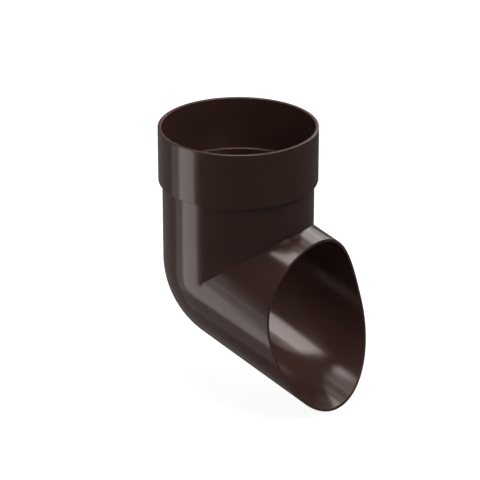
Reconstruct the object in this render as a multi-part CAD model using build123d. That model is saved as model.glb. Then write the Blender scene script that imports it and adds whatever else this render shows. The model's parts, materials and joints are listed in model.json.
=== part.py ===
from build123d import *
from math import radians, tan
import os

# Driving dimensions, in millimetres and degrees.
pipe_diameter = 80.0  # outside of the downpipe; the body and the spout have the same size
pipe_clearance = 0.2  # all round, between the downpipe and the socket
wall = 1.9
socket_depth = 28.2  # from the rim down to the ledge that stops the downpipe
stop_thickness = 1.7  # from that ledge down to the collar's lower edge
corner_depth = 79.3  # from the rim down to the corner, where the two axes cross
turn = 72.0  # from straight down to the way the spout points
bend_radius = 8.0  # of the axis, less than the body's radius, so the bend is mitred inside
spout_top_length = 39.9  # along the spout, from the corner to the top of the mouth
mouth_top_angle = 4.5  # of the mouth's edge from square, at its top
mouth_angle = 37.4  # of the straight lower part of the mouth from square
mouth_arc_radius = 80.0  # of the curve that joins the two
bore_draft = 0.5  # by which the spout's bore opens towards the mouth
edge_bevel = 0.4  # on both edges of the socket's rim and on the collar's lower edge

# Sizes that follow.
body_radius = pipe_diameter / 2
bore_radius = body_radius - wall
socket_radius = body_radius + pipe_clearance
collar_radius = socket_radius + wall
collar_height = socket_depth + stop_thickness
tangent_length = bend_radius * tan(radians(turn / 2))  # from the corner to each end of the bend
blank_length = spout_top_length + 2 * pipe_diameter  # of the spout before its mouth is cut

# The frame: the origin is the middle of the socket's rim, +Z is up and the spout points to +X.
corner = Vector(0, 0, -corner_depth)
spout_direction = Vector(0, 0, -1).rotate(Axis.Y, -turn)
bend_pivot = corner + Vector(bend_radius, 0, tangent_length)
spout_start = corner + spout_direction * tangent_length
spout_side = Plane(origin=corner, x_dir=spout_direction, z_dir=(0, -1, 0))


def beyond_mouth():
    """All that lies past the mouth, which is nearly square at the top, then an arc, then a straight slant."""
    top = Vector(spout_top_length, body_radius)
    down = Vector(0, -1).rotate(Axis.Z, mouth_top_angle)
    arc = JernArc(top, down, mouth_arc_radius, mouth_angle - mouth_top_angle)
    slant = Line(arc @ 1, arc @ 1 + (arc % 1) * blank_length)
    end = slant @ 1
    far = 2 * blank_length
    high = 2 * body_radius
    around = Polyline(end, (far, end.Y), (far, high), (top.X, high), top)
    side = spout_side * make_face(Curve() + [arc, slant, around])
    return extrude(side, amount=collar_radius, both=True)


def bent_bar(radius, draft):
    """A round bar along the shoe's axes: straight body, ball-like bend and a long straight spout."""
    section = Plane(origin=(0, 0, bend_pivot.Z)) * Circle(radius)
    body = extrude(section, amount=-bend_pivot.Z)
    inner_half = Pos(bend_pivot) * Rectangle(2 * radius, 2 * radius, align=(Align.MIN, Align.CENTER))
    bend = revolve(section - inner_half, Axis(bend_pivot, (0, -1, 0)), turn)
    spout_section = Plane(origin=spout_start, z_dir=spout_direction) * Circle(radius)
    spout = extrude(spout_section, amount=blank_length, taper=-draft)
    return body + bend + spout


def collar():
    """The wider ring round the socket, its lower edge bevelled."""
    ring = Cylinder(collar_radius, collar_height, align=(Align.CENTER, Align.CENTER, Align.MAX))
    return chamfer(ring.edges().group_by(Axis.Z)[0], edge_bevel)


def outlet_shoe():
    """The whole moulding: collar, body, bend and spout, hollow from the socket to the mouth."""
    socket = Cylinder(socket_radius, socket_depth, align=(Align.CENTER, Align.CENTER, Align.MAX))
    outside = bent_bar(body_radius, 0) + collar()
    shoe = outside - bent_bar(bore_radius, bore_draft) - socket - beyond_mouth()
    rim = shoe.edges().group_by(Axis.Z)[-1]
    return chamfer(rim, edge_bevel)


os.makedirs("parts", exist_ok=True)
export_step(outlet_shoe(), "parts/outlet_shoe.step")
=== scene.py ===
import bpy
import json
from math import cos, pi, radians, sin, tan
from mathutils import Matrix, Vector


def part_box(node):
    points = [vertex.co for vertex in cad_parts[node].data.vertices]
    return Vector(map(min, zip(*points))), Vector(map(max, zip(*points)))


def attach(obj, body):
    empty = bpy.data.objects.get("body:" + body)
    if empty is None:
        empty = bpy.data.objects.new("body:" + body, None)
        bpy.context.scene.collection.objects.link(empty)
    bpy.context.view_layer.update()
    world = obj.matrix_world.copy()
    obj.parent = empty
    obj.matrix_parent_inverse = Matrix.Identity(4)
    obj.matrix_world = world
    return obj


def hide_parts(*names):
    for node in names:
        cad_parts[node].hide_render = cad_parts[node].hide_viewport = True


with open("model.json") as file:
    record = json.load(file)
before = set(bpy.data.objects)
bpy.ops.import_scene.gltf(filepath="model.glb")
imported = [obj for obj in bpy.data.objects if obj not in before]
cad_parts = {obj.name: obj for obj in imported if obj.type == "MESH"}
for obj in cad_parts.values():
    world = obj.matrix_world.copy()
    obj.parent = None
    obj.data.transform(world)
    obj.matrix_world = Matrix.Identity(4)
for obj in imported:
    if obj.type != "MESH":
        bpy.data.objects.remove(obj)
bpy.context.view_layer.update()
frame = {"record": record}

# The shoe is one moulding of dark brown vinyl: a collar that goes over the downpipe, a short body, a bend
# that is ball-like outside and mitred inside, and a spout whose mouth is cut back along a curve. Its wall is
# drawn once, in rows down the outside and up the bore, then led round the axis and through the bend.
shoe_low, shoe_high = (Vector(corner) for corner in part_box("outlet_shoe"))
socket_bore = frame["record"]["mounts"][0]
millimetre = 0.001
collar_radius = shoe_high.y
socket_radius = socket_bore["dims"]["r_mm"] * millimetre
socket_depth = socket_bore["dims"]["length_mm"] * millimetre
pipe_clearance = 0.2 * millimetre
body_radius = socket_radius - pipe_clearance
wall = collar_radius - socket_radius
bore_radius = body_radius - wall
stop_thickness = 1.7 * millimetre
collar_height = socket_depth + stop_thickness
corner_depth = 79.3 * millimetre
turn = radians(72)
bend_radius = 8 * millimetre
tangent_length = bend_radius * tan(turn / 2)
pivot_depth = corner_depth - tangent_length
spout_top_length = 39.9 * millimetre
mouth_top_angle = radians(4.5)
mouth_angle = radians(37.4)
mouth_arc_radius = 80 * millimetre
bore_draft = radians(0.5)
rim_round = 0.4 * millimetre
lip_round = 0.3 * millimetre
lip_inner_round = 0.15 * millimetre
ledge_round = 0.5 * millimetre
shoulder_round = 0.55 * millimetre
round_steps = 8
bend_steps = 24
guard = 0.4 * millimetre
segments_around = 288
crease_angle = radians(13)
spout_start = 0.02
# How much of the paler edge colour the rounded edges of the socket's rim and the mouth get: partly wear,
# partly a painted highlight line along them.
edge_wear_and_highlight_level = 0.4
weld_distance = 0.002 * millimetre
warm_brown = (0.087, 0.041, 0.033)
cool_brown = (0.069, 0.0345, 0.029)
speck_brown = (0.09, 0.047, 0.038)
# A paler brown for those edges, partly worn plastic and partly a painted highlight.
wear_and_highlight_brown = (0.12, 0.07, 0.058)
speck_strength = 0.3
noise_low, noise_high = 0.3, 0.7
gloss_tint = (1, 0.88, 0.84, 1)
polish = 0.155
polish_spread = 0.015
rub_roughness = 0.12
cloud_size = 22 * millimetre
speck_size = 0.35 * millimetre
sheen_size = 5 * millimetre
edge_mark_size = 1.6 * millimetre
edge_mark_range = (0.1, 0.9)
ripple_size = 16 * millimetre
ripple_height = 0.02 * millimetre
grain_size = 0.3 * millimetre
grain_height = 0.0005 * millimetre


def wall_row(radius, depth=0.0, bend=0.0, spout=0.0, back=0.0, bore=0.0, edge_wear_and_highlight=0.0):
    """One row of the wall: how far from the axis, how far along the waterway, and how much of the paler edge
    colour it gets, which is partly wear and partly a painted highlight line.
    """
    return {"from_axis": radius, "depth": depth, "bend": bend, "spout": spout, "back": back, "bore": bore,
            "edge_wear_and_highlight": edge_wear_and_highlight}


def quarter(start, end):
    """The angles of a quarter turn or less, evenly spaced, both ends counted."""
    return [start + (end - start) * step / round_steps for step in range(round_steps + 1)]


def rim_rows():
    """The socket's rim, from the ledge's wall inside, over the flat top, to the collar's side."""
    inner, outer = socket_radius + rim_round, collar_radius - rim_round
    rows = [wall_row(socket_radius, rim_round + guard)]
    # The rim's rounded edges carry the paler edge colour, partly wear and partly a painted highlight line.
    for angle in quarter(pi, pi / 2):
        rows.append(wall_row(inner + rim_round * cos(angle), rim_round * (1 - sin(angle)), edge_wear_and_highlight=edge_wear_and_highlight_level))
    for angle in quarter(pi / 2, 0):
        rows.append(wall_row(outer + rim_round * cos(angle), rim_round * (1 - sin(angle)), edge_wear_and_highlight=edge_wear_and_highlight_level))
    return rows + [wall_row(collar_radius, rim_round + guard)]


def shoulder_rows():
    """The collar's lower edge, eased, and its underside, which runs in to the body."""
    start, inner = collar_height - shoulder_round, collar_radius - shoulder_round
    rows = [wall_row(collar_radius, start - guard)]
    for angle in quarter(0, pi / 2):
        rows.append(wall_row(inner + shoulder_round * cos(angle), start + shoulder_round * sin(angle)))
    return rows + [wall_row(body_radius, collar_height)]


def bend_rows(radius, bore):
    """The end of the body, the bend, and the start of the spout, from the body onwards."""
    rows = [wall_row(radius, pivot_depth, back=guard), wall_row(radius, pivot_depth)]
    for step in range(1, bend_steps + 1):
        rows.append(wall_row(radius, bend=step / bend_steps, bore=bore))
    rows.append(wall_row(radius, bend=1, spout=spout_start, bore=bore))
    return rows


def lip_rows():
    """The mouth's edge, eased outside and inside, from the spout's outside to its bore."""
    rows = [wall_row(body_radius, bend=1, spout=1, back=lip_round + guard)]
    # The mouth's eased edges carry the paler edge colour, partly wear and partly a painted highlight line.
    for angle in quarter(0, pi / 2):
        inset, back = lip_round * (1 - cos(angle)), lip_round * (1 - sin(angle))
        rows.append(wall_row(body_radius - inset, bend=1, spout=1, back=back, edge_wear_and_highlight=edge_wear_and_highlight_level))
    for angle in quarter(pi / 2, 0):
        inset, back = lip_inner_round * (1 - cos(angle)), lip_inner_round * (1 - sin(angle))
        rows.append(wall_row(bore_radius + inset, bend=1, spout=1, back=back, bore=1, edge_wear_and_highlight=edge_wear_and_highlight_level))
    return rows + [wall_row(bore_radius, bend=1, spout=1, back=lip_inner_round + guard, bore=1)]


def ledge_rows():
    """The ledge that the downpipe stands on, from the bore's top edge to the foot of the socket."""
    edge = bore_radius + ledge_round
    rows = [wall_row(bore_radius, socket_depth + ledge_round + guard)]
    for angle in quarter(pi, pi / 2):
        across, down = ledge_round * cos(angle), ledge_round * (1 - sin(angle))
        rows.append(wall_row(edge + across, socket_depth + down))
    return rows + [wall_row(socket_radius, socket_depth)]


def wall_section():
    """All the rows in order, as a closed ring of points that carry their numbers as attributes."""
    outside = rim_rows() + shoulder_rows() + bend_rows(body_radius, 0) + lip_rows()
    inside = list(reversed(bend_rows(bore_radius, 1))) + ledge_rows()
    rows = outside + inside
    count = len(rows)
    ring = bpy.data.meshes.new("wall_section")
    ring.from_pydata([(row["from_axis"], 0, -index * guard) for index, row in enumerate(rows)],
                     [(index, (index + 1) % count) for index in range(count)], [])
    for name in rows[0]:
        layer = ring.attributes.new(name, "FLOAT", "POINT")
        layer.data.foreach_set("value", [row[name] for row in rows])
    return bpy.data.objects.new("wall_section", ring)


def tree_input(tree, name, kind="NodeSocketFloat"):
    """A named input of a node tree."""
    return tree.interface.new_socket(name, in_out="INPUT", socket_type=kind)


def waterway_tree(plastic):
    """The rule that leads the wall's rows round the axis, through the bend and out to the mouth."""
    tree = bpy.data.node_groups.new("moulded waterway", "GeometryNodeTree")
    tree_input(tree, "Geometry", "NodeSocketGeometry")
    for name in ("Bend radius", "Pivot depth", "Turn", "Body radius", "Tangent length", "Spout top length",
                 "Mouth arc radius", "Mouth top angle", "Mouth angle", "Bore draft", "Crease angle"):
        tree_input(tree, name)
    tree_input(tree, "Segments around", "NodeSocketInt")
    tree_input(tree, "Plastic", "NodeSocketMaterial")
    tree.interface.new_socket("Geometry", in_out="OUTPUT", socket_type="NodeSocketGeometry")
    given = tree.nodes.new("NodeGroupInput").outputs
    link = tree.links.new

    def put(node_input, value):
        """Gives an input a number or links a value to it."""
        if isinstance(value, bpy.types.NodeSocket):
            link(value, node_input)
        else:
            node_input.default_value = value

    def calc(operation, *values):
        """One step of arithmetic."""
        step = tree.nodes.new("ShaderNodeMath")
        step.operation = operation
        for node_input, value in zip(step.inputs, values):
            put(node_input, value)
        return step.outputs[0]

    def times(first, second):
        return calc("MULTIPLY", first, second)

    def plus(first, second):
        return calc("ADD", first, second)

    def minus(first, second):
        return calc("SUBTRACT", first, second)

    def row_value(name):
        """A number that each row carries."""
        reader = tree.nodes.new("GeometryNodeInputNamedAttribute")
        reader.data_type = "FLOAT"
        reader.inputs["Name"].default_value = name
        return reader.outputs["Attribute"]

    # The ring of rows is swept round a circle, whose points know how far round they are.
    circle = tree.nodes.new("GeometryNodeCurvePrimitiveCircle")
    link(given["Segments around"], circle.inputs["Resolution"])
    point = tree.nodes.new("GeometryNodeInputIndex")
    around = times(calc("DIVIDE", point.outputs[0], given["Segments around"]), 2 * pi)
    mark = tree.nodes.new("GeometryNodeStoreNamedAttribute")
    mark.data_type, mark.domain = "FLOAT", "POINT"
    link(circle.outputs["Curve"], mark.inputs["Geometry"])
    mark.inputs["Name"].default_value = "around"
    link(around, mark.inputs["Value"])
    section = tree.nodes.new("GeometryNodeMeshToCurve")
    link(given["Geometry"], section.inputs["Mesh"])
    sweep = tree.nodes.new("GeometryNodeCurveToMesh")
    link(mark.outputs["Geometry"], sweep.inputs["Curve"])
    link(section.outputs["Curve"], sweep.inputs["Profile Curve"])

    # Across the axis: x is towards the inside of the bend, and past the pivot the two tubes meet in a mitre.
    angle = row_value("around")
    across = calc("COSINE", angle)
    x = times(row_value("from_axis"), across)
    y = times(row_value("from_axis"), calc("SINE", angle))
    reach = times(calc("MAXIMUM", minus(x, given["Bend radius"]), 0.0),
                  calc("TANGENT", times(given["Turn"], 0.5)))

    # The mouth's cut, by the height across the spout: an arc from nearly square, then a straight slant.
    def cut(height):
        top_sine = calc("SINE", given["Mouth top angle"])
        low_sine = calc("SINE", given["Mouth angle"])
        fall = calc("DIVIDE", minus(given["Body radius"], height), given["Mouth arc radius"])
        sine = calc("MINIMUM", plus(top_sine, fall), low_sine)
        cosine = calc("SQRT", minus(1.0, times(sine, sine)))
        bow = times(given["Mouth arc radius"], minus(calc("COSINE", given["Mouth top angle"]), cosine))
        arc_end = minus(given["Body radius"], times(given["Mouth arc radius"], minus(low_sine, top_sine)))
        slant = times(calc("MAXIMUM", minus(arc_end, height), 0.0), calc("TANGENT", given["Mouth angle"]))
        start = minus(given["Spout top length"], given["Tangent length"])
        return plus(start, plus(bow, slant))

    # The bore opens a little on its way along the spout, so its edge lies a little further on.
    opening = times(row_value("bore"), calc("TANGENT", given["Bore draft"]))
    first_cut = cut(x)
    wide_x = times(plus(row_value("from_axis"), times(first_cut, opening)), across)
    along = plus(times(reach, minus(1.0, row_value("spout"))), times(cut(wide_x), row_value("spout")))
    along = minus(along, row_value("back"))
    spread = plus(row_value("from_axis"), times(calc("MAXIMUM", along, 0.0), opening))
    off_axis = minus(times(spread, across), given["Bend radius"])

    # Along the axis: down the body, then turned about the pivot, all at once where the tubes are mitred.
    turned = calc("MAXIMUM", row_value("bend"), calc("GREATER_THAN", x, given["Bend radius"]))
    swing = times(given["Turn"], turned)
    swung_x = plus(times(off_axis, calc("COSINE", swing)), times(along, calc("SINE", swing)))
    bend_x = plus(given["Bend radius"], swung_x)
    bend_z = minus(minus(times(off_axis, calc("SINE", swing)), times(along, calc("COSINE", swing))),
                   given["Pivot depth"])
    body_end = plus(minus(reach, given["Pivot depth"]), row_value("back"))
    body_z = calc("MAXIMUM", times(row_value("depth"), -1.0), body_end)
    on_body = calc("LESS_THAN", row_value("bend"), 0.5 / bend_steps)

    def body_or_bend(body, bend):
        """The first value on the body's rows and the second past them."""
        return plus(times(body, on_body), times(bend, minus(1.0, on_body)))

    place = tree.nodes.new("ShaderNodeCombineXYZ")
    put(place.inputs[0], body_or_bend(x, bend_x))
    put(place.inputs[1], body_or_bend(y, times(spread, calc("SINE", angle))))
    put(place.inputs[2], body_or_bend(body_z, bend_z))
    lead = tree.nodes.new("GeometryNodeSetPosition")
    link(sweep.outputs["Mesh"], lead.inputs["Geometry"])
    link(place.outputs[0], lead.inputs["Position"])
    weld = tree.nodes.new("GeometryNodeMergeByDistance")
    link(lead.outputs["Geometry"], weld.inputs["Geometry"])
    weld.inputs["Distance"].default_value = weld_distance

    # Round stretches are shaded smooth, and the crease, the ledge and the shoulder's corner stay sharp.
    fold = tree.nodes.new("GeometryNodeInputMeshEdgeAngle")
    sharp = calc("GREATER_THAN", fold.outputs["Unsigned Angle"], given["Crease angle"])
    smooth_faces = tree.nodes.new("GeometryNodeSetShadeSmooth")
    smooth_faces.domain = "FACE"
    link(weld.outputs["Geometry"], smooth_faces.inputs["Geometry"])
    keen_edges = tree.nodes.new("GeometryNodeSetShadeSmooth")
    keen_edges.domain = "EDGE"
    link(smooth_faces.outputs["Geometry"], keen_edges.inputs["Geometry"])
    link(sharp, keen_edges.inputs["Selection"])
    keen_edges.inputs["Shade Smooth"].default_value = False
    whole = tree.nodes.new("GeometryNodeRealizeInstances")
    link(keen_edges.outputs["Geometry"], whole.inputs["Geometry"])
    finish = tree.nodes.new("GeometryNodeSetMaterial")
    link(whole.outputs["Geometry"], finish.inputs["Geometry"])
    link(given["Plastic"], finish.inputs["Material"])
    link(finish.outputs["Geometry"], tree.nodes.new("NodeGroupOutput").inputs[0])
    return tree


def brown_plastic():
    """Glossy moulded vinyl: slightly clouded, faintly rippled by the mould, rougher on its edges from wear,
    and paler there, partly from wear and partly as a painted highlight line.
    """
    material = bpy.data.materials.new("brown plastic")
    material.use_nodes = True
    nodes, link = material.node_tree.nodes, material.node_tree.links.new
    shader = nodes["Principled BSDF"]
    place = nodes.new("ShaderNodeTexCoord").outputs["Object"]

    def pattern(size, detail, low, high):
        """Marks of about the given size, with more or less detail, spread from low to high."""
        noise = nodes.new("ShaderNodeTexNoise")
        link(place, noise.inputs["Vector"])
        noise.inputs["Scale"].default_value = 1 / size
        noise.inputs["Detail"].default_value = detail
        spread = nodes.new("ShaderNodeMapRange")
        link(noise.outputs["Fac"], spread.inputs["Value"])
        ends = {"From Min": noise_low, "From Max": noise_high, "To Min": low, "To Max": high}
        for name, value in ends.items():
            spread.inputs[name].default_value = value
        return spread.outputs["Result"]

    def between(share, first, second):
        """A colour between two others."""
        blend = nodes.new("ShaderNodeMix")
        blend.data_type = "RGBA"
        link(share, blend.inputs[0])
        for colour, node_input in ((first, blend.inputs[6]), (second, blend.inputs[7])):
            if isinstance(colour, tuple):
                node_input.default_value = (*colour, 1)
            else:
                link(colour, node_input)
        return blend.outputs[2]

    def together(operation, first, second):
        """Two numbers added or multiplied."""
        step = nodes.new("ShaderNodeMath")
        step.operation = operation
        for value, node_input in zip((first, second), step.inputs):
            if isinstance(value, (int, float)):
                node_input.default_value = value
            else:
                link(value, node_input)
        return step.outputs[0]

    clouded = between(pattern(cloud_size, 2, 0, 1), cool_brown, warm_brown)
    speckled = between(pattern(speck_size, 1, 0, speck_strength), clouded, speck_brown)
    # The edges of the rim and the mouth are painted paler, partly as wear and partly as a painted highlight
    # line, and are made rougher by wear.
    edges = nodes.new("ShaderNodeAttribute")
    edges.attribute_name = "edge_wear_and_highlight"
    edge_wear_and_highlight_share = together("MULTIPLY", edges.outputs["Fac"], pattern(edge_mark_size, 3, *edge_mark_range))
    link(between(edge_wear_and_highlight_share, speckled, wear_and_highlight_brown), shader.inputs["Base Color"])
    sheen = pattern(sheen_size, 2, polish - polish_spread, polish + polish_spread)
    link(together("ADD", sheen, together("MULTIPLY", edge_wear_and_highlight_share, rub_roughness)), shader.inputs["Roughness"])
    shader.inputs["Specular Tint"].default_value = gloss_tint
    lean = None
    for size, detail, height in ((ripple_size, 1, ripple_height), (grain_size, 0, grain_height)):
        bump = nodes.new("ShaderNodeBump")
        bump.inputs["Strength"].default_value = 1
        bump.inputs["Distance"].default_value = height
        link(pattern(size, detail, 0, 1), bump.inputs["Height"])
        if lean:
            link(lean, bump.inputs["Normal"])
        lean = bump.outputs["Normal"]
    link(lean, shader.inputs["Normal"])
    return material


def moulded_shoe():
    """The finished shoe as a plain mesh."""
    piece = wall_section()
    bpy.context.scene.collection.objects.link(piece)
    plastic = brown_plastic()
    tree = waterway_tree(plastic)
    rule = piece.modifiers.new("waterway", "NODES")
    rule.node_group = tree
    sizes = {"Bend radius": bend_radius, "Pivot depth": pivot_depth, "Turn": turn, "Body radius": body_radius,
             "Tangent length": tangent_length, "Spout top length": spout_top_length,
             "Mouth arc radius": mouth_arc_radius, "Mouth top angle": mouth_top_angle,
             "Mouth angle": mouth_angle, "Bore draft": bore_draft, "Crease angle": crease_angle,
             "Segments around": segments_around, "Plastic": plastic}
    for socket in tree.interface.items_tree:
        if socket.in_out == "INPUT" and socket.name in sizes:
            rule[socket.identifier] = sizes[socket.name]
    evaluated = piece.evaluated_get(bpy.context.evaluated_depsgraph_get())
    mesh = bpy.data.meshes.new_from_object(evaluated)
    piece.modifiers.clear()
    shoe = bpy.data.objects.new("moulded_shoe", mesh)
    bpy.context.scene.collection.objects.link(shoe)
    bpy.data.objects.remove(piece)
    return shoe


shoe = moulded_shoe()
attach(shoe, "root")
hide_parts("outlet_shoe")

# The shoe stands on the lip of its mouth on a sheet of white paper, which is its floor. The camera sees the
# paper white, with the shoe's soft shadow on it. The gloss of the shoe doesn't mirror it, and the softboxes
# that hang low shine past it.
floor_height = shoe_low.z
floor_size = 6.0
paper_colour = (0.42, 0.42, 0.42, 1)
paper_lift = 0.93


def white_paper():
    """Pale matt paper, lifted to white for the camera alone."""
    material = bpy.data.materials.new("white paper")
    material.use_nodes = True
    nodes, link = material.node_tree.nodes, material.node_tree.links.new
    matt = nodes["Principled BSDF"]
    matt.inputs["Base Color"].default_value = paper_colour
    matt.inputs["Roughness"].default_value = 1.0
    matt.inputs["Specular IOR Level"].default_value = 0.0
    ray = nodes.new("ShaderNodeLightPath")
    lift = nodes.new("ShaderNodeMath")
    lift.operation = "MULTIPLY"
    link(ray.outputs["Is Camera Ray"], lift.inputs[0])
    lift.inputs[1].default_value = paper_lift
    matt.inputs["Emission Color"].default_value = (1, 1, 1, 1)
    link(lift.outputs[0], matt.inputs["Emission Strength"])
    return material


def paper_floor():
    """One flat sheet under the shoe."""
    mesh = bpy.data.meshes.new("paper_floor")
    half = floor_size / 2
    corners = [(-half, -half), (half, -half), (half, half), (-half, half)]
    mesh.from_pydata([(x, y, floor_height) for x, y in corners], [], [(0, 1, 2, 3)])
    mesh.materials.append(white_paper())
    floor = bpy.data.objects.new("paper_floor", mesh)
    floor.visible_glossy = False
    floor.visible_shadow = False
    bpy.context.scene.collection.objects.link(floor)
    return floor


paper_floor()

# The camera looks down at the shoe from the front right, from well back. Its frame is the photograph's,
# with the middle of the socket's rim at the same pixel.
view_azimuth = radians(37.9134)
view_elevation = radians(24.1478)
view_distance = 1.24668
frame_pixels = 480
focal_pixels = 2396.25
rim_centre_pixel = (238.344, 125.298)
sensor_width = 36


def place_camera():
    """The camera, turned and shifted so that its frame is level."""
    toward_camera = Vector((sin(view_azimuth) * cos(view_elevation), -cos(view_azimuth) * cos(view_elevation),
                            sin(view_elevation)))
    right = Vector((cos(view_azimuth), sin(view_azimuth), 0))
    up = toward_camera.cross(right)
    aside = (rim_centre_pixel[0] - frame_pixels / 2) / focal_pixels * view_distance
    below = (rim_centre_pixel[1] - frame_pixels / 2) / focal_pixels * view_distance
    data = bpy.data.cameras.new("camera")
    data.sensor_width = sensor_width
    data.lens = focal_pixels * sensor_width / frame_pixels
    camera = bpy.data.objects.new("camera", data)
    turned = Matrix((right, up, toward_camera)).transposed().to_4x4()
    place = toward_camera * view_distance - right * aside + up * below
    camera.matrix_world = Matrix.Translation(place) @ turned
    bpy.context.scene.collection.objects.link(camera)
    bpy.context.scene.camera = camera


place_camera()

# The studio is a dark room with softboxes: a low pair at the front left, a round one over the socket, one
# high on the right and three at the back. Dimmer flaps beside them soften the edges of what the gloss
# mirrors. The camera sees the room's walls white.
room_fill = 0.04
room_gloss = 0.09
lit_place = Vector((0.03, 0, -0.08))
softboxes = {
    # Azimuth and elevation, then width and height as angles seen from the shoe, then distance and glow.
    "left softbox": (-41.5, -22, 25, 16, 1.0, 2.45),
    "upper left softbox": (-41.5, -7, 25, 14, 1.0, 3.2),
    "left flap": (-62, -22, 16, 18, 1.0, 0.62),
    "right flap": (-25, -22, 8, 16, 1.0, 0.3),
    "upper right flap": (-25, -6, 8, 16, 1.0, 1.0),
    "lower flap": (-50, -38, 36, 16, 1.0, 0.32),
    "upper flap": (-27, 9, 12, 18, 1.0, 1.1),
    "left reflector": (-95, -20, 45, 60, 1.2, 0.1),
    "top back flap": (-165, 62, 30, 22, 1.2, 0.7),
    "top rear flap": (180, 77, 36, 16, 1.2, 1.5),
    "right softbox": (90, 58, 40, 30, 1.2, 2.4),
    "back softbox": (-174, 26, 32, 14, 1.2, 2.6),
    "upper back softbox": (-168, 39, 20, 12, 1.2, 3.1),
    "high back flap": (-174, 51, 32, 12, 1.2, 0.8),
    "low back softbox": (-167, 8, 17, 22, 1.2, 1.25),
    "right back flap": (-151, 24, 14, 18, 1.2, 0.55),
}
round_softbox = (-86.6, 81.4, 26, 26, 0.334, 5.15)


def studio_walls():
    """A dark room that only the camera sees white."""
    world = bpy.data.worlds.new("studio walls")
    world.use_nodes = True
    nodes, link = world.node_tree.nodes, world.node_tree.links.new
    ray = nodes.new("ShaderNodeLightPath")
    seen = nodes.new("ShaderNodeMapRange")
    link(ray.outputs["Is Glossy Ray"], seen.inputs["Value"])
    seen.inputs["To Min"].default_value = room_fill
    seen.inputs["To Max"].default_value = room_gloss
    level = nodes.new("ShaderNodeMath")
    level.operation = "MAXIMUM"
    link(seen.outputs["Result"], level.inputs[0])
    link(ray.outputs["Is Camera Ray"], level.inputs[1])
    nodes["Background"].inputs["Color"].default_value = (1, 1, 1, 1)
    link(level.outputs[0], nodes["Background"].inputs["Strength"])
    bpy.context.scene.world = world


def hang_softbox(name, azimuth, elevation, width, height, distance, glow, shape="RECTANGLE"):
    """A softbox that faces the shoe from the given direction."""
    azimuth, elevation = radians(azimuth), radians(elevation)
    outward = Vector((sin(azimuth) * cos(elevation), -cos(azimuth) * cos(elevation), sin(elevation)))
    right = Vector((cos(azimuth), sin(azimuth), 0))
    light = bpy.data.lights.new(name, "AREA")
    light.shape = shape
    light.size = 2 * distance * tan(radians(width / 2))
    light.size_y = 2 * distance * tan(radians(height / 2))
    light.energy = glow * pi * light.size * light.size_y
    lamp = bpy.data.objects.new(name, light)
    turned = Matrix((right, outward.cross(right), outward)).transposed().to_4x4()
    lamp.matrix_world = Matrix.Translation(lit_place + outward * distance) @ turned
    lamp.visible_camera = False
    bpy.context.scene.collection.objects.link(lamp)


studio_walls()
for name, setting in softboxes.items():
    hang_softbox(name, *setting)
hang_softbox("top softbox", *round_softbox, shape="ELLIPSE")
bpy.context.scene.view_settings.view_transform = "Standard"
